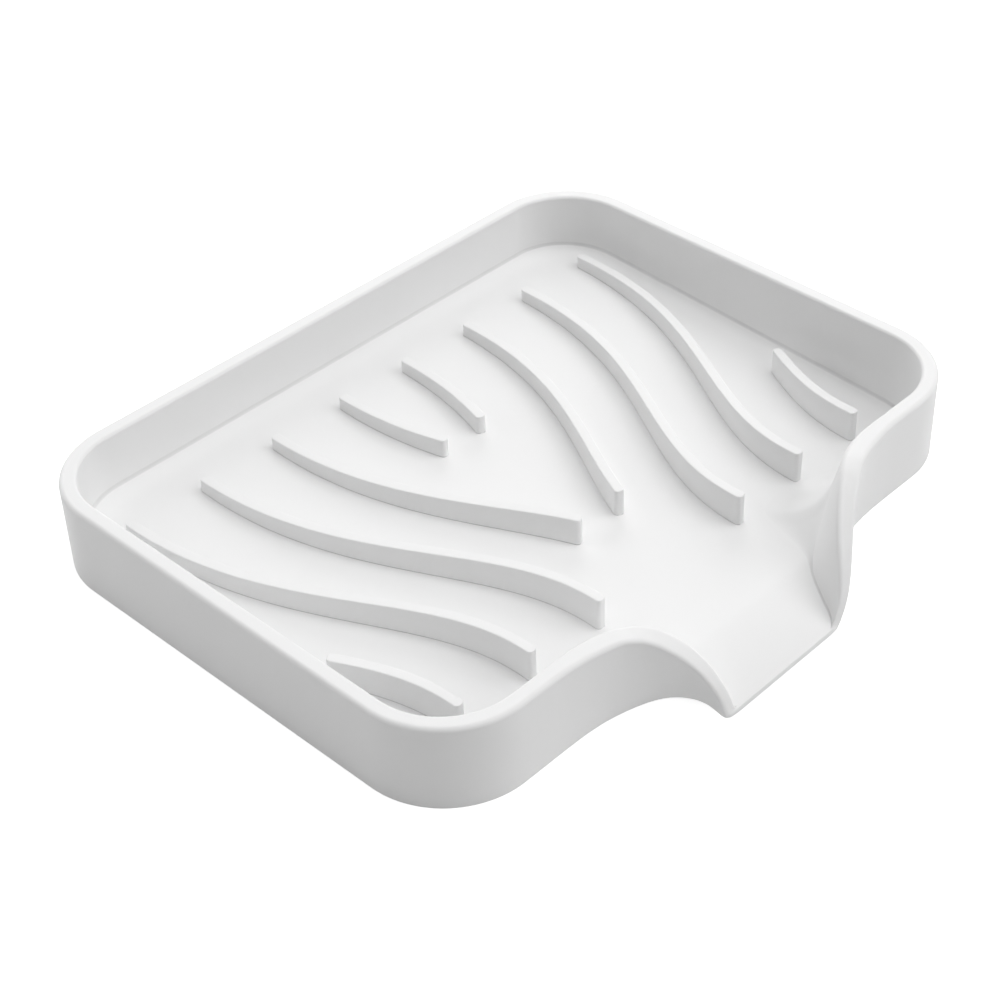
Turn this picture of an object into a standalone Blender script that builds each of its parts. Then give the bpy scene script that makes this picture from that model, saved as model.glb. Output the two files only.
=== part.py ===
"""Self-draining soap dish: a shallow tray with a sloping floor, a spout that
hangs over the edge of a basin, and ten curved drainage ribs with level tops.

The tray is one lofted shell. The ribs stand on its sloping floor in five
mirrored pairs. All lengths are in metres, +Z is up, and the spout points
towards -Y. The origin is the middle of the tray's flat underside.
"""
import math

import bmesh
import bpy
from mathutils import Vector

# Tray
tray_length = 0.130
tray_depth = 0.0975
rim_height = 0.016
corner_radius = 0.016
wall_thickness = 0.00275
rim_round = 0.0008
base_round = 0.0003

# Floor of the tray, which falls from the back wall to the front wall
floor_back = 0.0056
floor_front = 0.0009
floor_fillet = 0.001

# Spout, whose mouth opens a short straight length past the front corners
front_land = 0.007
lip_width = 0.0248
spout_reach = 0.0105
lip_drop = 0.00485
lip_thickness = 0.0011
lip_edge = 0.00025
chute_bend = 1.5

# Ribs
rib_thickness = 0.00185
rib_top = 0.0074
rib_top_round = 0.0003
rib_end_round = 0.0004
rib_back_clearance = 0.01105
rib_front_clearance = 0.01025
rib_side_clearance = 0.00735
rib_lead_in = 0.0019
rib_lead_out = 0.00195
seat_gap = 0.0003

# Where each rib of one side lies, from the middle rib outwards. The first is
# this share of a pitch off the middle plane, and the S sweeps this many pitches.
first_rib_share = 0.483
sweep_share = 1.373
back_handle_share = 0.489
front_handle_share = 0.3145
rib_start_shares = (0.0, 0.0, 0.0, 0.0, 0.686)
rib_end_shares = (0.323, 0.7705, 1.0, 1.0, 1.0)

# The spout's side wall hangs between four rails, given at the same stations.
# Across runs from the mouth's edge to the lip's end, out from the front wall to
# the lip, and fall from the rim's height down to the lip's. The last table has
# shares of the inner rim's rounding and of the floor's fillet.
rim_outer_shares = (
    (0.000, 0.000, 0.000), (0.169, 0.043, 0.000), (0.304, 0.114, 0.000),
    (0.399, 0.195, 0.000), (0.486, 0.300, 0.034), (0.574, 0.433, 0.120),
    (0.655, 0.581, 0.242), (0.723, 0.719, 0.374), (0.779, 0.843, 0.516),
    (0.819, 0.924, 0.643), (0.855, 0.976, 0.767), (0.887, 0.995, 0.882),
    (0.919, 0.995, 0.978), (0.949, 1.000, 1.000),
)
rim_inner_shares = (
    (0.000, 0.000, 0.000), (0.186, 0.004, 0.000), (0.345, 0.053, 0.000),
    (0.448, 0.128, 0.000), (0.541, 0.234, 0.010), (0.640, 0.370, 0.070),
    (0.736, 0.525, 0.189), (0.811, 0.668, 0.326), (0.867, 0.808, 0.477),
    (0.904, 0.902, 0.614), (0.934, 0.962, 0.739), (0.963, 0.981, 0.859),
    (0.990, 0.981, 0.974), (1.000, 0.981, 0.995),
)
foot_inner_shares = (
    (0.000, 0.000), (0.193, 0.000), (0.365, 0.000), (0.486, 0.008), (0.595, 0.060),
    (0.703, 0.166), (0.797, 0.302), (0.865, 0.445), (0.907, 0.604), (0.932, 0.732),
    (0.949, 0.838), (0.973, 0.928), (0.995, 0.962), (1.000, 0.970),
)
foot_outer_shares = (
    (0.000, 0.000), (0.169, 0.005), (0.321, 0.033), (0.439, 0.086), (0.534, 0.143),
    (0.639, 0.224), (0.736, 0.338), (0.811, 0.476), (0.861, 0.610), (0.889, 0.729),
    (0.902, 0.824), (0.912, 0.900), (0.926, 0.952), (0.953, 0.986),
)
rounding_shares = (
    (1.0, 1.0), (1.0, 4.0), (1.2, 7.0), (1.4, 4.0), (1.5, 0.6), (1.5, 0.3), (1.5, 0.3),
    (1.5, 0.3), (1.5, 0.3), (1.5, 0.3), (1.4, 0.3), (1.2, 0.3), (0.8, 0.2), (0.6, 0.2),
)

# A rounding takes up to this share of each line that it joins
arc_share = 0.45

# Smoothness of the model
corner_steps = 8
spout_steps = 3
round_steps = 3
rib_steps = 26
smooth_angle = math.radians(35)

# Finish
silicone_white = (0.90, 0.90, 0.90, 1.0)
silicone_roughness = 0.55

# Places worked out from the sizes above
half_length = tray_length / 2
half_depth = tray_depth / 2
inner_half_length = half_length - wall_thickness
inner_half_depth = half_depth - wall_thickness
corner_x = half_length - corner_radius
corner_y = half_depth - corner_radius
mouth_half = corner_x - front_land
lip_half = lip_width / 2
lip_y = -half_depth - spout_reach
floor_slope = (floor_back - floor_front) / (2 * inner_half_depth)

rib_row_back = inner_half_depth - rib_back_clearance
rib_row_front = rib_front_clearance - inner_half_depth
rib_pitch = (inner_half_length - rib_side_clearance) / (3 + first_rib_share)
rib_sweep = sweep_share * rib_pitch
first_rib_x = first_rib_share * rib_pitch


def clear_scene():
    """Remove every object, mesh and collection that the scene holds."""
    for thing in list(bpy.data.objects):
        bpy.data.objects.remove(thing, do_unlink=True)
    for group in list(bpy.data.collections):
        bpy.data.collections.remove(group)


def plane_height(y):
    """Height of the tray's sloping floor plane."""
    return floor_front + (y + inner_half_depth) * floor_slope


def floor_height(y):
    """Height of the floor, which bends down past the front wall as a chute."""
    if y > -half_depth:
        return plane_height(y)
    share = (-half_depth - y) / spout_reach
    return plane_height(y) - (plane_height(lip_y) + lip_drop) * share ** chute_bend


def under_height(y):
    """Height of the underside: flat below the tray, and below the chute a skin
    whose thickness runs from the floor's at the front wall to the lip's."""
    if y > -half_depth:
        return 0.0
    share = (-half_depth - y) / spout_reach
    skin = plane_height(-half_depth)
    return floor_height(y) - skin - (lip_thickness - skin) * share


def material(name, colour, roughness):
    """A Principled material without metal."""
    finish = bpy.data.materials.new(name)
    finish.use_nodes = True
    shader = finish.node_tree.nodes["Principled BSDF"]
    shader.inputs["Base Color"].default_value = colour
    shader.inputs["Roughness"].default_value = roughness
    shader.inputs["Metallic"].default_value = 0.0
    finish.diffuse_color = colour
    return finish


def add_object(name, mesh, collection, finish):
    """A shaded object with its own material."""
    mesh.shade_smooth()
    mesh.set_sharp_from_angle(angle=smooth_angle)
    mesh.materials.append(finish)
    thing = bpy.data.objects.new(name, mesh)
    collection.objects.link(thing)
    return thing


def smooth_rows(rows, steps):
    """Monotone curve through the rows of a table, with steps to each span."""
    def tangent(before, here, after):
        back, ahead = here - before, after - here
        if back * ahead <= 0:
            return 0.0
        return 2 * back * ahead / (back + ahead)

    columns = len(rows[0])
    last = len(rows) - 1
    tangents = []
    for i, row in enumerate(rows):
        before = rows[max(i - 1, 0)]
        after = rows[min(i + 1, last)]
        ends = i in (0, last)
        tangents.append([
            (after[c] - before[c]) if ends else tangent(before[c], row[c], after[c])
            for c in range(columns)
        ])
    result = []
    for i in range(last):
        for step in range(steps):
            t = step / steps
            weights = (
                2 * t ** 3 - 3 * t ** 2 + 1,
                t ** 3 - 2 * t ** 2 + t,
                3 * t ** 2 - 2 * t ** 3,
                t ** 3 - t ** 2,
            )
            parts = (rows[i], tangents[i], rows[i + 1], tangents[i + 1])
            result.append([
                sum(w * part[c] for w, part in zip(weights, parts))
                for c in range(columns)
            ])
    result.append(list(rows[last]))
    return result


def station(rim_outer, rim_inner, foot_inner, foot_outer, rim_arc=rim_round,
            fillet=floor_fillet):
    """One place on the outline where a section of the wall stands."""
    return {
        "rim_outer": Vector(rim_outer),
        "rim_inner": Vector(rim_inner),
        "foot_inner": Vector((*foot_inner, floor_height(foot_inner[1]))),
        "foot_outer": Vector((*foot_outer, under_height(foot_outer[1]))),
        "rim_arc": rim_arc,
        "fillet": fillet,
    }


def wall_station(x, y, nx, ny):
    """A station of the upright wall, whose outward direction is (nx, ny)."""
    inner = (x - nx * wall_thickness, y - ny * wall_thickness)
    return station((x, y, rim_height), (*inner, rim_height), inner, (x, y))


def corner_stations(centre_y, first, last):
    """Stations round a corner, between two angles in degrees."""
    places = []
    for step in range(corner_steps + 1):
        angle = math.radians(first + (last - first) * step / corner_steps)
        nx, ny = math.cos(angle), math.sin(angle)
        x = corner_x + corner_radius * nx
        y = centre_y + corner_radius * ny
        places.append(wall_station(x, y, nx, ny))
    return places


def spout_stations():
    """Stations from the front wall down one side of the spout to the lip."""
    def place(shares, wall_line):
        across, out = shares[:2]
        x = mouth_half + (lip_half - mouth_half) * across
        return x, wall_line + (lip_y - wall_line) * out

    def rim(shares, wall_line):
        return (*place(shares, wall_line), rim_height - (rim_height + lip_drop) * shares[2])

    rails = zip(
        smooth_rows(rim_outer_shares, spout_steps),
        smooth_rows(rim_inner_shares, spout_steps),
        smooth_rows(foot_inner_shares, spout_steps),
        smooth_rows(foot_outer_shares, spout_steps),
        smooth_rows(rounding_shares, spout_steps),
    )
    return [
        station(
            rim(rim_outer, -half_depth),
            rim(rim_inner, -inner_half_depth),
            place(foot_inner, -inner_half_depth),
            place(foot_outer, -half_depth),
            rim_round * rounding[0],
            floor_fillet * rounding[1],
        )
        for rim_outer, rim_inner, foot_inner, foot_outer, rounding in rails
    ]


def lip_station(x):
    """A station of the lip, whose front face is all that is left of the wall."""
    edge_y = lip_y + lip_edge
    crease = arc_share * lip_edge
    return station(
        (x, lip_y, -lip_drop),
        (x, edge_y, floor_height(edge_y)),
        (x, edge_y + crease),
        (x, lip_y),
        lip_edge,
        arc_share * crease,
    )


def outline():
    """Stations along half of the outline, from the back's middle to the lip's."""
    places = [wall_station(0.0, half_depth, 0.0, 1.0)]
    places += corner_stations(corner_y, 90, 0)
    places += corner_stations(-corner_y, 0, -90)
    places += spout_stations()[1:]
    places += [lip_station(lip_half - 2 * lip_edge), lip_station(0.0)]
    return places


def rounded(before, corner, after, radius, steps):
    """An arc that rounds the corner between two straight lines."""
    back = before - corner
    ahead = after - corner
    start = corner + back.normalized() * min(radius, arc_share * back.length)
    end = corner + ahead.normalized() * min(radius, arc_share * ahead.length)
    weight = math.sin(back.angle(ahead) / 2)
    points = []
    for step in range(steps + 1):
        t = step / steps
        shares = ((1 - t) ** 2, 2 * weight * t * (1 - t), t ** 2)
        sums = start * shares[0] + corner * shares[1] + end * shares[2]
        points.append(sums / sum(shares))
    return points


def section(place, steps):
    """Points of the wall's section at a station, from the underside's edge over
    the rim to the floor."""
    foot_outer, foot_inner = place["foot_outer"], place["foot_inner"]
    rim_outer, rim_inner = place["rim_outer"], place["rim_inner"]
    under = Vector((*foot_inner.to_2d(), under_height(foot_inner.y)))
    inward = (foot_inner - rim_outer).to_2d().normalized()
    floor = foot_inner.to_2d() + inward * place["fillet"] / arc_share
    floor = Vector((*floor, floor_height(floor.y)))
    return (
        rounded(under, foot_outer, rim_outer, base_round, 2)
        + rounded(foot_outer, rim_outer, rim_inner, rim_round, steps)
        + rounded(rim_outer, rim_inner, foot_inner, place["rim_arc"], steps)
        + rounded(rim_inner, foot_inner, floor, place["fillet"], steps)
    )


def fill_inside(bm, edge, upward):
    """Fill between an edge of the loft and the middle plane: one flat face as far
    as the front wall, and then a strip to each station of the spout."""
    flat = [vertex for vertex in edge if vertex.co.y > -half_depth]
    side = [flat[-1]] + edge[len(flat):-1]
    middle = [bm.verts.new((0.0, vertex.co.y, vertex.co.z)) for vertex in side[:-1]]
    middle.append(edge[-1])
    loops = [flat + middle[:1]]
    for i in range(len(side) - 1):
        loops.append([middle[i], side[i], side[i + 1], middle[i + 1]])
    for loop in loops:
        bm.faces.new(loop[::-1] if upward else loop)


def make_tray(collection):
    """Loft half of the tray through its sections and mirror it."""
    bm = bmesh.new()
    rings = []
    for place in outline():
        rings.append([bm.verts.new(point) for point in section(place, round_steps)])
    for here, after in zip(rings, rings[1:]):
        for low in range(len(here) - 1):
            bm.faces.new((here[low], here[low + 1], after[low + 1], after[low]))
    fill_inside(bm, [ring[-1] for ring in rings], True)
    fill_inside(bm, [ring[0] for ring in rings], False)
    mesh = bpy.data.meshes.new("tray")
    bm.to_mesh(mesh)
    bm.free()
    tray = add_object("tray", mesh, collection,
                      material("tray_silicone", silicone_white, silicone_roughness))
    mirror = tray.modifiers.new("Mirror", "MIRROR")
    mirror.use_axis = (True, False, False)
    mirror.use_clip = True
    mirror.merge_threshold = 0.00001
    return tray


def rib_path(start_x, start_y, end_y):
    """Middle line of a rib between two depths: a straight lead, an S, a lead."""
    back_y = rib_row_back - rib_lead_in
    front_y = rib_row_front + rib_lead_out
    run = back_y - front_y
    handle_y = (
        back_y,
        back_y - back_handle_share * run,
        front_y + front_handle_share * run,
        front_y,
    )

    def place(t):
        u = 1 - t
        y = (u ** 3 * handle_y[0] + 3 * u * u * t * handle_y[1]
             + 3 * u * t * t * handle_y[2] + t ** 3 * handle_y[3])
        return start_x - rib_sweep * (3 * t * t - 2 * t ** 3), y

    def parameter(y):
        low, high = 0.0, 1.0
        for _ in range(40):
            middle = (low + high) / 2
            if place(middle)[1] > y:
                low = middle
            else:
                high = middle
        return low

    first = parameter(start_y)
    last = parameter(end_y)
    points = []
    if start_y > back_y:
        points.append((start_x, start_y))
    count = max(6, round(rib_steps * (last - first)))
    for step in range(count + 1):
        points.append(place(first + (last - first) * step / count))
    if end_y < front_y:
        points.append((start_x - rib_sweep, end_y))
    return [Vector(point) for point in points]


def rib_outline(path):
    """Closed outline of a rib round its middle line, with rounded corners."""
    half = rib_thickness / 2
    corner = min(rib_end_round, 0.9 * half)
    sides = ([], [])
    for i, point in enumerate(path):
        ahead = path[min(i + 1, len(path) - 1)] - path[max(i - 1, 0)]
        across = Vector((ahead.y, -ahead.x)).normalized()
        along = ahead.normalized()
        if i == 0:
            point = point + along * corner
        if i == len(path) - 1:
            point = point - along * corner
        sides[0].append(point + across * half)
        sides[1].append(point - across * half)

    def end_corners(point, along):
        """The two rounded corners of an end, from the right side to the left."""
        across = Vector((along.y, -along.x))
        arc = []
        for side, order in ((1, range(1, round_steps + 1)), (-1, range(round_steps))):
            centre = point - along * corner + across * side * (half - corner)
            for step in order:
                angle = math.pi / 2 * step / round_steps
                if side < 0:
                    angle = math.pi / 2 - angle
                arc.append(centre + across * side * corner * math.cos(angle)
                           + along * corner * math.sin(angle))
        return arc

    front = (path[-1] - path[-2]).normalized()
    back = (path[0] - path[1]).normalized()
    return sides[0] + end_corners(path[-1], front) + sides[1][::-1] + end_corners(path[0], back)


def make_rib(name, index, side, collection):
    """A rib with a level top, whose foot follows the sloping floor."""
    row = rib_row_back - rib_row_front
    path = rib_path(
        first_rib_x + index * rib_pitch,
        rib_row_back - rib_start_shares[index] * row,
        rib_row_back - rib_end_shares[index] * row,
    )
    outline_points = rib_outline(path)
    if side < 0:
        outline_points = [Vector((-p.x, p.y)) for p in outline_points][::-1]
    bm = bmesh.new()
    base = [bm.verts.new((p.x, p.y, rib_top)) for p in outline_points]
    face = bm.faces.new(base)
    if face.normal.z > 0:
        face.normal_flip()
    raised = bmesh.ops.extrude_face_region(bm, geom=[face])["geom"]
    top = [part for part in raised if isinstance(part, bmesh.types.BMVert)]
    for vertex in base:
        vertex.co.z = plane_height(vertex.co.y) + seat_gap
    bmesh.ops.recalc_face_normals(bm, faces=bm.faces)
    edges = [edge for edge in bm.edges if all(vertex in top for vertex in edge.verts)]
    bmesh.ops.bevel(bm, geom=edges, offset=rib_top_round, segments=2, profile=0.5,
                    affect="EDGES")
    mesh = bpy.data.meshes.new(name)
    bm.to_mesh(mesh)
    bm.free()
    return add_object(name, mesh, collection,
                      material(name + "_silicone", silicone_white, silicone_roughness))


def build():
    clear_scene()
    dish = bpy.data.collections.new("soap_dish")
    bpy.context.scene.collection.children.link(dish)
    make_tray(dish)
    for index in range(len(rib_end_shares)):
        make_rib("rib_left_" + str(index + 1), index, -1, dish)
        make_rib("rib_right_" + str(index + 1), index, 1, dish)


build()
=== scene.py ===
import math

import bmesh
import bpy
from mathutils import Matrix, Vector


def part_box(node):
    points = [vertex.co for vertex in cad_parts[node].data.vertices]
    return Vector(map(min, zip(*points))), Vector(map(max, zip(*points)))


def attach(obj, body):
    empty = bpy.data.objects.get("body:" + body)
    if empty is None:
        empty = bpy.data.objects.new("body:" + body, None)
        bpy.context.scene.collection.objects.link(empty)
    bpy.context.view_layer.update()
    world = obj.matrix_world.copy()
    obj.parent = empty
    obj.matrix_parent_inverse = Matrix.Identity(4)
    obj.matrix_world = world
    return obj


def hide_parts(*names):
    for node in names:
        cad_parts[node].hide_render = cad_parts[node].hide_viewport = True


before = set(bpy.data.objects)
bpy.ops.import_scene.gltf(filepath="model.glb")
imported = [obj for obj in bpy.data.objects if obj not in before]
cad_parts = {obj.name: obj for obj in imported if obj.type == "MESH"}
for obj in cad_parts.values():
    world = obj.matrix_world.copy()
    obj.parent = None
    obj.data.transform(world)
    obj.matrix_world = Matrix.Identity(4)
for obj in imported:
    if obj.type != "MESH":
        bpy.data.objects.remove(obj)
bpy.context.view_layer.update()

trayLow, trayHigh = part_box("tray")
print("frame loaded:", len(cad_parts), "nodes")


def addObject(name, data):
    made = bpy.data.objects.new(name, data)
    bpy.context.scene.collection.objects.link(made)
    return made


# In degrees. Azimuth 0 is in front of the spout, and 90 is on the side of +X.
def directionTo(azimuth, elevation):
    a, e = math.radians(azimuth), math.radians(elevation)
    return Vector((math.sin(a) * math.cos(e), -math.cos(a) * math.cos(e), math.sin(e)))


# Helpers for node trees. A value that is a socket is linked, and any other is set.
def addNode(tree, kind, inputs=None, **settings):
    made = tree.nodes.new(kind)
    for name, value in settings.items():
        setattr(made, name, value)
    for name, value in (inputs or {}).items():
        if isinstance(value, bpy.types.NodeSocket):
            tree.links.new(value, made.inputs[name])
        else:
            made.inputs[name].default_value = value
    return made


def maths(tree, operation, *values):
    return addNode(tree, "ShaderNodeMath", dict(enumerate(values)), operation=operation).outputs[0]


def vectorMaths(tree, operation, *values):
    return addNode(tree, "ShaderNodeVectorMath", dict(enumerate(values)),
                   operation=operation).outputs[0]


def mixColours(tree, factor, first, second):  # the colours are a Mix node's sockets 6, 7 and 2
    made = addNode(tree, "ShaderNodeMix", {"Factor": factor, 6: first, 7: second}, data_type="RGBA")
    return made.outputs[2]


def newTree(name, kind, inputs, outputs):
    tree = bpy.data.node_groups.new(name, kind)
    for label, socketKind in inputs:
        tree.interface.new_socket(label, in_out="INPUT", socket_type="NodeSocket" + socketKind)
    for label, socketKind in outputs:
        tree.interface.new_socket(label, in_out="OUTPUT", socket_type="NodeSocket" + socketKind)
    given = tree.nodes.new("NodeGroupInput").outputs
    result = tree.nodes.new("NodeGroupOutput").inputs
    return tree, given, result


# Matte moulded silicone, nearly white: a satin grain from the mould's skin, faint
# clouds in the tone and the gloss, and a grey line of painted shade in the creases,
# which the pieces mark in an attribute of their own.
skinValues = {
    "pale": (0.805, 0.805, 0.805, 1.0),
    "deep": (0.795, 0.795, 0.795, 1.0),
    # the grey that the creases are darkened towards, as painted shade
    "shadeGrey": (0.5, 0.5, 0.5, 1.0),
    "cloudScale": 55.0,  # per metre, so clouds about 18 mm across
    "cloudDetail": 3.0,
    "grainScale": 3200.0,  # grain about 0.3 mm across
    "grainDetail": 2.0,
    "grainShare": 0.5,  # the grain's part in the gloss, where the clouds have the rest
    "noiseLow": 0.3,  # the noise's range that the gloss follows
    "noiseHigh": 0.7,
    "glossLow": 0.52,
    "glossHigh": 0.6,
    "grainDepth": 0.000012,
    "grainStrength": 0.35,
    "specular": 0.35,
}


def makeMouldedSkin(values):
    tree, given, result = newTree(
        "mouldedSkin", "ShaderNodeTree",
        [("Pale", "Color"), ("Deep", "Color"), ("Shade Grey", "Color"), ("Cloud Scale", "Float"),
         ("Grain Scale", "Float"), ("Gloss Low", "Float"), ("Gloss High", "Float")],
        [("Colour", "Color"), ("Roughness", "Float"), ("Height", "Float")])
    place = tree.nodes.new("ShaderNodeTexCoord").outputs["Object"]
    cloud = addNode(tree, "ShaderNodeTexNoise",
                    {"Vector": place, "Scale": given["Cloud Scale"],
                     "Detail": values["cloudDetail"]}).outputs["Fac"]
    grain = addNode(tree, "ShaderNodeTexNoise",
                    {"Vector": place, "Scale": given["Grain Scale"],
                     "Detail": values["grainDetail"]}).outputs["Fac"]
    # painted shade: where the crease attribute is set, the colour is mixed towards the grey
    crease = addNode(tree, "ShaderNodeAttribute", attribute_name="crease").outputs["Fac"]
    depth = addNode(tree, "ShaderNodeClamp", {"Value": crease}).outputs[0]
    tone = mixColours(tree, cloud, given["Deep"], given["Pale"])
    tree.links.new(mixColours(tree, depth, tone, given["Shade Grey"]), result["Colour"])
    mottled = maths(tree, "MULTIPLY_ADD", cloud, 1 - values["grainShare"],
                    maths(tree, "MULTIPLY", grain, values["grainShare"]))
    gloss = addNode(tree, "ShaderNodeMapRange",
                    {"Value": mottled, "From Min": values["noiseLow"], "From Max": values["noiseHigh"],
                     "To Min": given["Gloss Low"], "To Max": given["Gloss High"]})
    tree.links.new(gloss.outputs["Result"], result["Roughness"])
    tree.links.new(grain, result["Height"])
    return tree


def makeSilicone(name, skin, values):
    finish = bpy.data.materials.new(name)
    finish.use_nodes = True
    tree = finish.node_tree
    shader = tree.nodes["Principled BSDF"]
    shader.inputs["Specular IOR Level"].default_value = values["specular"]
    moulded = addNode(tree, "ShaderNodeGroup", node_tree=skin)
    for label, key in (("Pale", "pale"), ("Deep", "deep"), ("Shade Grey", "shadeGrey"),
                       ("Cloud Scale", "cloudScale"), ("Grain Scale", "grainScale"),
                       ("Gloss Low", "glossLow"), ("Gloss High", "glossHigh")):
        moulded.inputs[label].default_value = values[key]
    bump = addNode(tree, "ShaderNodeBump",
                   {"Height": moulded.outputs["Height"], "Distance": values["grainDepth"],
                    "Strength": values["grainStrength"]})
    tree.links.new(moulded.outputs["Colour"], shader.inputs["Base Color"])
    tree.links.new(moulded.outputs["Roughness"], shader.inputs["Roughness"])
    tree.links.new(bump.outputs["Normal"], shader.inputs["Normal"])
    return finish


mouldedSkin = makeMouldedSkin(skinValues)
silicone = makeSilicone("whiteSilicone", mouldedSkin, skinValues)
print("silicone ready")


# The tray. Its length, depth, height and the lip's place come from the frame.
tray = {
    "wall": 0.00295,
    "cornerRadius": 0.016,
    "rimRound": 0.0008,
    "rimInnerRound": 0.00055,
    "baseRound": 0.0001,
    "floorBack": 0.0056,  # the floor's height at the back wall
    "floorFront": 0.0009,  # and at the front wall
    "floorFillet": 0.0006,
    # painted shade darkens the fillet's middle, this strongly
    "creaseShade": 0.55,  # how strongly the fillet's middle is marked
    "frontLand": 0.007,  # straight wall between a front corner and the spout's mouth
    "lipWidth": 0.0248,
    "lipDrop": 0.00485,
    "lipThickness": 0.0011,
    "lipEdge": 0.00025,
    "chuteBend": 1.5,  # the chute falls with this power of the way to the lip
    "arcShare": 0.45,  # a rounding takes up to this share of each line it joins
    "filletShare": 0.85,  # and the floor's fillet up to this one
    "hold": 0.0001,  # a row this far past each rounding keeps the flats flat
    "holdShare": 0.03,  # but no further than this share of the line
    "cornerSteps": 24,
    "spoutSteps": 8,
    "roundSteps": 8,
    "mergeReach": 0.00001,  # the two halves join where they are this close
}
halfLength = trayHigh.x
halfDepth = trayHigh.y
rimHeight = trayHigh.z
lipY = trayLow.y
innerHalfDepth = halfDepth - tray["wall"]
floorSlope = (tray["floorBack"] - tray["floorFront"]) / (2 * innerHalfDepth)

# Rails of the spout's side wall, all at the same stations: shares across from the
# mouth's edge to the lip's end, out from the front wall to the lip, and down from
# the rim to the lip. The first row lies before the mouth, in the front wall. The
# last table scales the rim's inner rounding and the floor's fillet.
rimOuterShares = (
    (-0.200, 0.000, 0.000), (0.000, 0.000, 0.000), (0.169, 0.043, 0.000), (0.304, 0.114, 0.000),
    (0.399, 0.195, 0.000), (0.486, 0.300, 0.034), (0.574, 0.433, 0.120),
    (0.655, 0.581, 0.242), (0.723, 0.719, 0.374), (0.779, 0.843, 0.516),
    (0.819, 0.924, 0.643), (0.855, 0.976, 0.767), (0.887, 0.995, 0.882),
    (0.919, 0.995, 0.978), (0.949, 1.000, 1.000),
)
rimInnerShares = (
    (-0.200, 0.000, 0.000), (0.000, 0.000, 0.000), (0.186, 0.004, 0.000), (0.345, 0.053, 0.000),
    (0.448, 0.128, 0.000), (0.541, 0.234, 0.010), (0.640, 0.370, 0.070),
    (0.736, 0.525, 0.189), (0.811, 0.668, 0.326), (0.867, 0.808, 0.477),
    (0.904, 0.902, 0.614), (0.934, 0.962, 0.739), (0.963, 0.981, 0.859),
    (0.990, 0.981, 0.974), (1.000, 0.981, 0.995),
)
footInnerShares = (
    (-0.200, 0.000), (0.000, -0.030), (0.193, -0.110), (0.365, -0.160), (0.500, -0.110),
    (0.600, 0.020), (0.703, 0.160), (0.797, 0.302), (0.865, 0.445), (0.907, 0.604), (0.932, 0.732),
    (0.949, 0.838), (0.973, 0.928), (0.995, 0.962), (1.000, 0.970),
)
footOuterShares = (
    (-0.200, 0.000), (0.000, 0.000), (0.169, 0.005), (0.321, 0.033), (0.439, 0.086), (0.534, 0.143),
    (0.639, 0.224), (0.736, 0.338), (0.811, 0.476), (0.861, 0.610), (0.889, 0.729),
    (0.902, 0.824), (0.912, 0.900), (0.926, 0.952), (0.953, 0.986),
)
roundingShares = (
    (1.0, 1.0), (1.0, 9.5), (1.0, 12.5), (1.2, 15.0), (1.4, 15.0), (1.5, 10.0),
    (1.5, 4.2), (1.5, 1.2), (1.5, 0.6), (1.5, 0.6), (1.5, 0.6), (1.4, 0.6),
    (1.2, 0.4), (0.8, 0.3), (0.6, 0.3),
)


def floorPlane(y):
    return tray["floorFront"] + (y + innerHalfDepth) * floorSlope


def floorHeight(y):  # past the front wall the floor bends down as a chute
    if y > -halfDepth:
        return floorPlane(y)
    share = (-halfDepth - y) / (-halfDepth - lipY)
    return floorPlane(y) - (floorPlane(lipY) + tray["lipDrop"]) * share ** tray["chuteBend"]


def underHeight(y):  # flat below the tray, then a skin that thins towards the lip
    if y > -halfDepth:
        return 0.0
    share = (-halfDepth - y) / (-halfDepth - lipY)
    skin = floorPlane(-halfDepth)
    return floorHeight(y) - skin - (tray["lipThickness"] - skin) * share


def smoothRows(rows, steps):  # monotone curve through a table's rows
    def bend(before, here, after):
        back, ahead = here - before, after - here
        return 2 * back * ahead / (back + ahead) if back * ahead > 0 else 0.0

    last = len(rows) - 1
    columns = range(len(rows[0]))
    bends = []
    for i, row in enumerate(rows):
        before, after = rows[max(i - 1, 0)], rows[min(i + 1, last)]
        bends.append([after[c] - before[c] if i in (0, last) else bend(before[c], row[c], after[c])
                      for c in columns])
    result = []
    for i in range(last):
        for step in range(steps):
            t = step / steps
            weights = (2 * t ** 3 - 3 * t ** 2 + 1, t ** 3 - 2 * t ** 2 + t,
                       3 * t ** 2 - 2 * t ** 3, t ** 3 - t ** 2)
            parts = (rows[i], bends[i], rows[i + 1], bends[i + 1])
            result.append([sum(w * part[c] for w, part in zip(weights, parts)) for c in columns])
    return result + [list(rows[last])]


def station(rimOuter, rimInner, footInner, footOuter, rimArc, fillet, crease):
    return {
        "rimOuter": Vector(rimOuter),
        "rimInner": Vector(rimInner),
        "footInner": Vector((*footInner, floorHeight(footInner[1]))),
        "footOuter": Vector((*footOuter, underHeight(footOuter[1]))),
        "rimArc": rimArc,
        "fillet": fillet,
        "crease": crease,
    }


def wallStation(x, y, nx, ny):
    inner = (x - nx * tray["wall"], y - ny * tray["wall"])
    return station((x, y, rimHeight), (*inner, rimHeight), inner, (x, y),
                   tray["rimInnerRound"], tray["floorFillet"], 1.0)


def cornerStations(side, first):
    places = []
    for step in range(tray["cornerSteps"] + 1):
        angle = math.radians(first - 90 * step / tray["cornerSteps"])
        nx, ny = math.cos(angle), math.sin(angle)
        x = halfLength - tray["cornerRadius"] * (1 - nx)
        y = side * (halfDepth - tray["cornerRadius"]) + tray["cornerRadius"] * ny
        places.append(wallStation(x, y, nx, ny))
    return places


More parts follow.
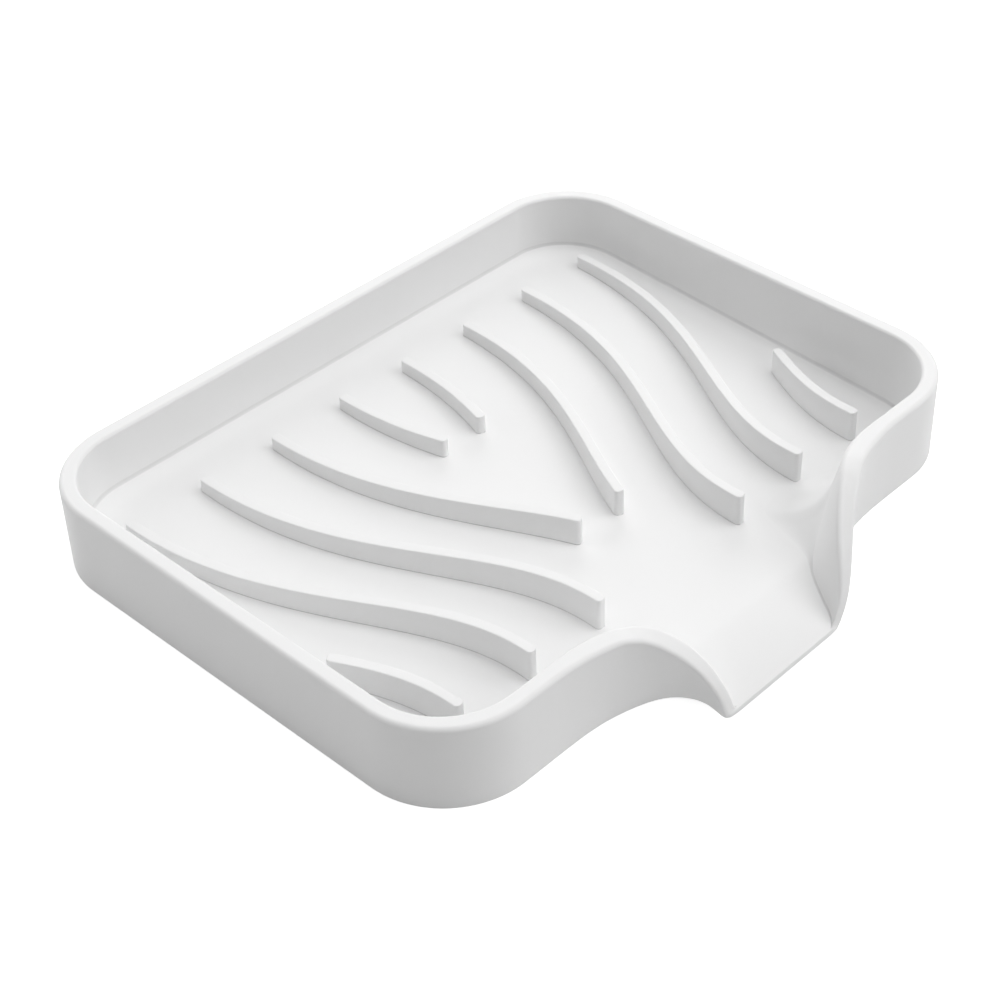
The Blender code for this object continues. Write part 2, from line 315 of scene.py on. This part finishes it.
def spoutStations():
    mouthHalf = halfLength - tray["cornerRadius"] - tray["frontLand"]

    def spot(shares, wallLine):
        place = [mouthHalf + (tray["lipWidth"] / 2 - mouthHalf) * shares[0],
                 wallLine + (lipY - wallLine) * shares[1]]
        if len(shares) > 2:
            place.append(rimHeight - (rimHeight + tray["lipDrop"]) * shares[2])
        return place

    tables = (rimOuterShares, rimInnerShares, footInnerShares, footOuterShares, roundingShares)
    places = []
    for rows in zip(*(smoothRows(table, tray["spoutSteps"]) for table in tables)):
        rimOuter, rimInner, footInner, footOuter, (rimScale, filletScale) = rows
        places.append(station(
            spot(rimOuter, -halfDepth), spot(rimInner, -innerHalfDepth),
            spot(footInner, -innerHalfDepth), spot(footOuter, -halfDepth),
            tray["rimInnerRound"] * rimScale, tray["floorFillet"] * filletScale,
            # the painted shade in the fillet is fainter where the fillet is wide
            min(1.0, 1.0 / filletScale)))  # a wide fillet is marked less
    return places


def lipStation(x):  # the lip's front face is all that is left of the wall
    edge = tray["lipEdge"]
    setBack = tray["arcShare"] * edge
    return station((x, lipY, -tray["lipDrop"]), (x, lipY + edge, floorHeight(lipY + edge)),
                   (x, lipY + edge + setBack), (x, lipY), edge, tray["arcShare"] * setBack, 0.0)


def rounded(before, corner, after, radius, steps, share=tray["arcShare"]):
    back, ahead = before - corner, after - corner
    start = min(radius, share * back.length)
    end = min(radius, share * ahead.length)
    startHold = start + min(tray["hold"], tray["holdShare"] * back.length)
    endHold = end + min(tray["hold"], tray["holdShare"] * ahead.length)
    weight = math.sin(back.angle(ahead) / 2)
    back.normalize()
    ahead.normalize()
    points = [corner + back * startHold]
    for step in range(steps + 1):
        t = step / steps
        shares = ((1 - t) ** 2, 2 * weight * t * (1 - t), t ** 2)
        total = ((corner + back * start) * shares[0] + corner * shares[1]
                 + (corner + ahead * end) * shares[2])
        points.append(total / sum(shares))
    points.append(corner + ahead * endHold)
    return points


def section(place):  # from the underside's edge over the rim to the floor
    steps = tray["roundSteps"]
    footOuter, footInner = place["footOuter"], place["footInner"]
    rimOuter, rimInner = place["rimOuter"], place["rimInner"]
    under = Vector((footInner.x, footInner.y, underHeight(footInner.y)))
    inward = (footInner - rimOuter).to_2d().normalized()
    floor = footInner.to_2d() + inward * place["fillet"] / tray["filletShare"]
    floor = Vector((*floor, floorHeight(floor.y)))
    return ([under] + rounded(under, footOuter, rimOuter, tray["baseRound"], steps // 2)
            + rounded(footOuter, rimOuter, rimInner, tray["rimRound"], steps)
            + rounded(rimOuter, rimInner, footInner, place["rimArc"], steps)
            + rounded(rimInner, footInner, floor, place["fillet"], steps, tray["filletShare"])
            + [floor])


def fillInside(mesh, edge, upward):  # one flat face to the front wall, then strips
    flat = [vertex for vertex in edge if vertex.co.y > -halfDepth]
    side = [flat[-1]] + edge[len(flat):-1]
    middle = [mesh.verts.new((0, vertex.co.y, vertex.co.z)) for vertex in side[:-1]] + edge[-1:]
    loops = [flat + middle[:1]]
    for i in range(len(side) - 1):
        loops.append([middle[i], side[i], side[i + 1], middle[i + 1]])
    for loop in loops:
        mesh.faces.new(loop[::-1] if upward else loop)


def plainMesh(thing, name):  # the evaluated shape as a mesh of its own
    shape = bpy.data.meshes.new_from_object(
        thing.evaluated_get(bpy.context.evaluated_depsgraph_get()))
    shape.name = name
    bpy.data.objects.remove(thing)
    return addObject(name, shape)


def makeTray():
    steps = tray["roundSteps"]
    places = [wallStation(0, halfDepth, 0, 1)] + cornerStations(1, 90) + cornerStations(-1, 0)
    places += spoutStations()[1:]
    places += [lipStation(tray["lipWidth"] / 2 - 2 * tray["lipEdge"]), lipStation(0)]
    mesh = bmesh.new()
    crease = mesh.verts.layers.float.new("crease")
    rings = [[mesh.verts.new(point) for point in section(place)] for place in places]
    # painted shade: the crease attribute darkens the middle of each fillet's arc, where the floor
    # meets the wall
    for place, ring in zip(places, rings):
        for step, vertex in enumerate(ring[-steps - 3:-2]):  # the fillet's arc
            mark = 1 - (2 * step / steps - 1) ** 2
            vertex[crease] = tray["creaseShade"] * place["crease"] * mark
    for here, after in zip(rings, rings[1:]):
        for low in range(len(here) - 1):
            mesh.faces.new((here[low], here[low + 1], after[low + 1], after[low]))
    fillInside(mesh, [ring[-1] for ring in rings], True)
    fillInside(mesh, [ring[0] for ring in rings], False)
    half = bpy.data.meshes.new("trayHalf")
    mesh.to_mesh(half)
    mesh.free()
    thing = addObject("trayHalf", half)
    mirror = thing.modifiers.new("mirror", "MIRROR")
    mirror.use_clip = True
    mirror.merge_threshold = tray["mergeReach"]
    made = plainMesh(thing, "trayShell")
    made.data.materials.append(silicone)
    made.data.shade_smooth()
    return made


trayShell = makeTray()
print("tray made:", len(trayShell.data.polygons), "faces")


# The ribs. Their row, spacing and depths come from the frame.
rib = {
    "thickness": 0.00185,
    "topRound": 0.00022,
    "endRound": 0.0007,
    "hold": 0.0001,
    "backHandle": 0.489,  # shares of the S's depth
    "frontHandle": 0.3145,
    "leadIn": 0.0019,
    "leadOut": 0.00195,
    "sink": 0.0004,  # how far a rib's foot runs into the floor
    # the painted shade at a rib's foot reaches this high
    "creaseHeight": 0.00018,
    "perSide": 5,
    "linePoints": 60,
    "sweepPoints": 120,
    "roundSteps": 5,
    "halvings": 40,  # steps of the search for the place that has a given depth
    "footMargin": 0.00001,  # a height this close to the foot's is the foot's
    "endMargin": 0.000001,  # and a point closer to a line's end than this is the end
}
ribSides = {"left": -1, "right": 1}
ribNumbers = range(1, rib["perSide"] + 1)
ribNames = [f"rib_{side}_{number}" for side in ribSides for number in ribNumbers]
longNumber = 3
longLow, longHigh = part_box("rib_right_3")
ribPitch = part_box("rib_right_4")[1].x - longHigh.x
ribSweep = longHigh.x - longLow.x - rib["thickness"]


# Middle line of a rib between two depths: a straight lead, an S and a straight lead.
def ribLine(startX, startY, endY, side):
    backY = longHigh.y - rib["leadIn"]
    frontY = longLow.y + rib["leadOut"]
    run = backY - frontY
    handles = (backY, backY - rib["backHandle"] * run, frontY + rib["frontHandle"] * run, frontY)

    def spot(t):
        weights = ((1 - t) ** 3, 3 * t * (1 - t) ** 2, 3 * t * t * (1 - t), t ** 3)
        return (startX - ribSweep * (weights[2] + weights[3]),
                sum(w * y for w, y in zip(weights, handles)))

    def shareAt(y):
        low, high = 0.0, 1.0
        for _ in range(rib["halvings"]):
            middle = (low + high) / 2
            low, high = (middle, high) if spot(middle)[1] > y else (low, middle)
        return low

    first, last = shareAt(startY), shareAt(endY)
    count = rib["linePoints"]
    line = [spot(first + (last - first) * i / count) for i in range(count + 1)]
    if startY > backY:
        line.insert(0, (startX, startY))
    if endY < frontY:
        line.append((startX - ribSweep, endY))
    return [(side * x, y, 0) for x, y in line]


# In the section, heights count down from a rib's top. Those near sectionFoot, which
# stands for its foot, count up from there.
sectionFoot = -1.0


def ribSection():
    half, top, hold = rib["thickness"] / 2, rib["topRound"], rib["hold"]
    right = [(half, sectionFoot), (half, sectionFoot + rib["sink"] + rib["creaseHeight"]),
             (half, -top - hold)]
    for step in range(rib["roundSteps"] + 1):
        angle = math.pi / 2 * step / rib["roundSteps"]
        right.append((half - top + top * math.cos(angle), -top + top * math.sin(angle)))
    right.append((half - top - hold, 0.0))
    return [(-x, z) for x, z in right] + right[::-1]


def lineObject(name, chains, closed=False):
    points, edges = [], []
    for chain in chains:
        first = len(points)
        points += chain
        edges += [(i, i + 1) for i in range(first, len(points) - 1)]
        if closed:
            edges.append((len(points) - 1, first))
    shape = bpy.data.meshes.new(name)
    shape.from_pydata(points, edges, [])
    return addObject(name, shape)


# Each line becomes a rib: the section is swept along it, drawn in to round off the
# ends, levelled at the top and stretched down to the sloping floor.
def makeRibTree():
    tree, given, result = newTree(
        "drainageRibs", "GeometryNodeTree",
        [("Lines", "Geometry"), ("Section", "Object"), ("Points", "Int"), ("Top", "Float"),
         ("Half Thickness", "Float"), ("Top Round", "Float"), ("End Round", "Float"),
         ("Foot Level", "Float"), ("Floor Slope", "Float"), ("Foot Crease", "Float"),
         ("Material", "Material")],
        [("Ribs", "Geometry")])
    lines = addNode(tree, "GeometryNodeMeshToCurve", {"Mesh": given["Lines"]}).outputs["Curve"]
    spread = addNode(tree, "GeometryNodeResampleCurve",
                     {"Curve": lines, "Count": given["Points"]}).outputs["Curve"]
    # points crowd towards both ends, where the corners are rounded
    factor = tree.nodes.new("GeometryNodeSplineParameter").outputs["Factor"]
    crowded = maths(tree, "MULTIPLY_ADD",
                    maths(tree, "COSINE", maths(tree, "MULTIPLY", factor, math.pi)), -0.5, 0.5)
    length = tree.nodes.new("GeometryNodeSplineLength").outputs["Length"]
    inside = maths(tree, "MULTIPLY", length,
                   maths(tree, "MINIMUM", crowded, maths(tree, "SUBTRACT", 1.0, crowded)))
    number = tree.nodes.new("GeometryNodeCurveOfPoint").outputs["Curve Index"]
    sampled = addNode(tree, "GeometryNodeSampleCurve",
                      {"Curves": lines, "Factor": crowded, "Curve Index": number},
                      mode="FACTOR")
    kept = addNode(tree, "GeometryNodeCaptureAttribute", domain="POINT")
    for kind, name in (("VECTOR", "centre"), ("VECTOR", "ahead"), ("FLOAT", "inside")):
        kept.capture_items.new(kind, name)
    tree.links.new(spread, kept.inputs["Geometry"])
    tree.links.new(sampled.outputs["Position"], kept.inputs["centre"])
    tree.links.new(sampled.outputs["Tangent"], kept.inputs["ahead"])
    tree.links.new(inside, kept.inputs["inside"])
    profile = addNode(tree, "GeometryNodeObjectInfo", {"Object": given["Section"]})
    outline = addNode(tree, "GeometryNodeMeshToCurve", {"Mesh": profile.outputs["Geometry"]})
    drawn = addNode(tree, "GeometryNodeCaptureAttribute", domain="POINT")
    drawn.capture_items.new("VECTOR", "drawn")
    tree.links.new(outline.outputs["Curve"], drawn.inputs["Geometry"])
    tree.links.new(tree.nodes.new("GeometryNodeInputPosition").outputs[0], drawn.inputs["drawn"])
    swept = addNode(tree, "GeometryNodeCurveToMesh",
                    {"Curve": kept.outputs["Geometry"], "Profile Curve": drawn.outputs["Geometry"],
                     "Fill Caps": True}).outputs["Mesh"]

    def drawnIn(radius):  # how far a rounded end has drawn in at this point
        left = maths(tree, "MAXIMUM", 0.0, maths(tree, "SUBTRACT", radius, kept.outputs["inside"]))
        reach = maths(tree, "SUBTRACT", maths(tree, "MULTIPLY", radius, radius),
                      maths(tree, "MULTIPLY", left, left))
        return maths(tree, "SUBTRACT", radius, maths(tree, "SQRT", maths(tree, "MAXIMUM", 0.0, reach)))

    flat = addNode(tree, "ShaderNodeSeparateXYZ", {"Vector": drawn.outputs["drawn"]})
    centre = addNode(tree, "ShaderNodeSeparateXYZ", {"Vector": kept.outputs["centre"]})
    across = vectorMaths(tree, "NORMALIZE",
                         vectorMaths(tree, "CROSS_PRODUCT", kept.outputs["ahead"], (0, 0, 1)))
    narrowed = maths(tree, "DIVIDE", drawnIn(given["End Round"]), given["Half Thickness"])
    offset = maths(tree, "MULTIPLY", flat.outputs["X"], maths(tree, "SUBTRACT", 1.0, narrowed))
    aside = addNode(tree, "ShaderNodeVectorMath", {0: across, "Scale": offset}, operation="SCALE")
    topZ = maths(tree, "ADD", flat.outputs["Z"],
                 maths(tree, "SUBTRACT", given["Top"], drawnIn(given["Top Round"])))
    footZ = maths(tree, "ADD", maths(tree, "SUBTRACT", flat.outputs["Z"], sectionFoot),
                  maths(tree, "MULTIPLY_ADD", centre.outputs["Y"], given["Floor Slope"],
                        given["Foot Level"]))
    low = maths(tree, "LESS_THAN", flat.outputs["Z"], sectionFoot / 2)
    height = maths(tree, "MULTIPLY_ADD", low, maths(tree, "SUBTRACT", footZ, topZ), topZ)
    spot = vectorMaths(tree, "ADD", kept.outputs["centre"], aside.outputs[0])
    upright = addNode(tree, "ShaderNodeCombineXYZ", {"Z": height}).outputs[0]
    placed = addNode(tree, "GeometryNodeSetPosition",
                     {"Geometry": swept, "Position": vectorMaths(tree, "ADD", spot, upright)})
    # painted shade at a rib's foot, through the crease attribute; the flat ends stay unmarked, or the
    # shade would run up them
    foot = maths(tree, "MULTIPLY",
                 maths(tree, "LESS_THAN", flat.outputs["Z"], sectionFoot + rib["footMargin"]),
                 maths(tree, "GREATER_THAN", kept.outputs["inside"], rib["endMargin"]))
    marked = addNode(tree, "GeometryNodeStoreNamedAttribute",
                     {"Geometry": placed.outputs[0], "Name": "crease",
                      "Value": maths(tree, "MULTIPLY", foot, given["Foot Crease"])},
                     data_type="FLOAT", domain="POINT")
    whole = addNode(tree, "GeometryNodeRealizeInstances", {"Geometry": marked.outputs[0]})
    painted = addNode(tree, "GeometryNodeSetMaterial",
                      {"Geometry": whole.outputs[0], "Material": given["Material"]})
    tree.links.new(painted.outputs[0], result["Ribs"])
    return tree


def makeRibs():
    chains = []
    for word, side in ribSides.items():
        for number in ribNumbers:
            low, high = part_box(f"rib_{word}_{number}")
            startX = longHigh.x - rib["thickness"] / 2 + (number - longNumber) * ribPitch
            chains.append(ribLine(startX, high.y, low.y, side))
    lines = lineObject("ribLines", chains)
    profile = lineObject("ribProfile", [[(x, 0, z) for x, z in ribSection()]], closed=True)
    tree = makeRibTree()
    sweep = lines.modifiers.new("sweep", "NODES")
    sweep.node_group = tree
    values = {
        "Section": profile, "Points": rib["sweepPoints"], "Top": longHigh.z,
        "Half Thickness": rib["thickness"] / 2,
        "Top Round": rib["topRound"], "End Round": rib["endRound"],
        "Foot Level": floorPlane(0) - rib["sink"], "Floor Slope": floorSlope,
        "Foot Crease": 1 + rib["sink"] / rib["creaseHeight"], "Material": silicone,
    }
    for item in tree.interface.items_tree:
        if item.item_type == "SOCKET" and item.name in values:
            sweep[item.identifier] = values[item.name]
    made = plainMesh(lines, "drainageRibs")
    bpy.data.objects.remove(profile)
    made.data.shade_smooth()
    return made


drainageRibs = makeRibs()
print("ribs made:", len(drainageRibs.data.polygons), "faces")


for piece, nodes in ((trayShell, ["tray"]), (drainageRibs, ribNames)):
    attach(piece, "root")
    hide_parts(*nodes)


# The pale counter that the dish stands on, with the lip over its rounded edge.
counterValues = {
    "edge": 0.0005,  # how far behind the front wall its edge starts to round
    "edgeRound": 0.006,
    "drop": 0.05,
    "reach": 0.6,
    "roundSteps": 16,
    "colour": (0.8, 0.8, 0.8, 1.0),
    "whiteShare": 0.6,
}


def addSeen(tree):  # 1 where the camera looks, straight, by a reflection or through something
    path = tree.nodes.new("ShaderNodeLightPath").outputs
    first = maths(tree, "MAXIMUM", path["Is Camera Ray"], path["Is Glossy Ray"])
    return maths(tree, "MAXIMUM", first, path["Is Transmission Ray"])


# Its added white shows where the counter is seen, straight or in the dish's gloss,
# and lights nothing.
def makeCounterWhite(values):
    finish = bpy.data.materials.new("counterWhite")
    finish.use_nodes = True
    tree = finish.node_tree
    tree.nodes.remove(tree.nodes["Principled BSDF"])
    paint = addNode(tree, "ShaderNodeBsdfDiffuse", {"Color": values["colour"]})
    white = addNode(tree, "ShaderNodeEmission", {"Strength": values["whiteShare"]})
    both = addNode(tree, "ShaderNodeAddShader", {0: paint.outputs[0], 1: white.outputs[0]})
    mix = addNode(tree, "ShaderNodeMixShader",
                  {0: addSeen(tree), 1: paint.outputs[0], 2: both.outputs[0]})
    tree.links.new(mix.outputs[0], tree.nodes["Material Output"].inputs["Surface"])
    return finish


def makeCounter():
    values = counterValues
    reach, radius = values["reach"], values["edgeRound"]
    edgeY = values["edge"] - halfDepth
    line = [(reach, 0.0)]
    for step in range(values["roundSteps"] + 1):
        angle = math.pi / 2 * step / values["roundSteps"]
        line.append((edgeY - radius * math.sin(angle), radius * (math.cos(angle) - 1)))
    line += [(edgeY - radius, -values["drop"]), (-reach, -values["drop"])]
    points = [(x, y, z) for y, z in line for x in (-reach, reach)]
    faces = [(2 * i, 2 * i + 1, 2 * i + 3, 2 * i + 2) for i in range(len(line) - 1)]
    shape = bpy.data.meshes.new("counter")
    shape.from_pydata(points, [], faces)
    shape.materials.append(makeCounterWhite(values))
    return addObject("counter", shape)


makeCounter()
print("counter made")


# Plain soft studio light: nine large lamps round the dish, twice as many at its
# right as at its left. The backdrop is white in the same way as the counter.
lightValues = {
    "distance": 1.2,
    "size": 0.9,
    "lamps": {  # azimuth, elevation and strength
        "overhead": (0, 90, 5.71),
        "highRight": (60, 60, 3.46),
        "front": (0, 30, 3.29),
        "frontRight": (45, 30, 3.95),
        "backRight": (135, 30, 4.25),
        "lowBackRight": (120, 8, 0.97),
        "lowBack": (180, 8, 3.78),
        "backLeft": (-135, 30, 2.73),
        "left": (-90, 30, 1.25),
    },
    "backdrop": (1.0, 1.0, 1.0, 1.0),
}


def aimed(name, data, azimuth, elevation, distance, target=Vector()):
    thing = addObject(name, data)
    back = directionTo(azimuth, elevation)
    thing.location = target + back * distance
    thing.rotation_euler = back.to_track_quat("Z", "Y").to_euler()
    return thing


def makeLamp(name, azimuth, elevation, power):
    lamp = bpy.data.lights.new(name, "AREA")
    lamp.shape = "DISK"
    lamp.size = lightValues["size"]
    lamp.energy = power
    thing = aimed(name, lamp, azimuth, elevation, lightValues["distance"])
    thing.visible_camera = False


def makeWorld():
    world = bpy.data.worlds.new("studio")
    bpy.context.scene.world = world
    world.use_nodes = True
    tree = world.node_tree
    backdrop = tree.nodes["Background"]
    backdrop.inputs["Color"].default_value = lightValues["backdrop"]
    tree.links.new(addSeen(tree), backdrop.inputs["Strength"])


for lampName, lampSettings in lightValues["lamps"].items():
    makeLamp(lampName, *lampSettings)
makeWorld()
print("light ready")


cameraValues = {
    "azimuth": -48.09,
    "elevation": 38.377,
    "target": (0.008921, -0.009945, 0.0),
    "distance": 0.3646,
    "lens": 76.2,
    "sensor": 36.0,
    "shift": (-0.093, -0.010),
    "nearest": 0.001,
}


def makeCamera():
    values = cameraValues
    camera = bpy.data.cameras.new("camera")
    camera.lens = values["lens"]
    camera.sensor_width = values["sensor"]
    camera.shift_x, camera.shift_y = values["shift"]
    camera.clip_start = values["nearest"]
    bpy.context.scene.camera = aimed("camera", camera, values["azimuth"], values["elevation"],
                                     values["distance"], Vector(values["target"]))


makeCamera()
bpy.context.scene.view_settings.view_transform = "Standard"
print("camera ready")
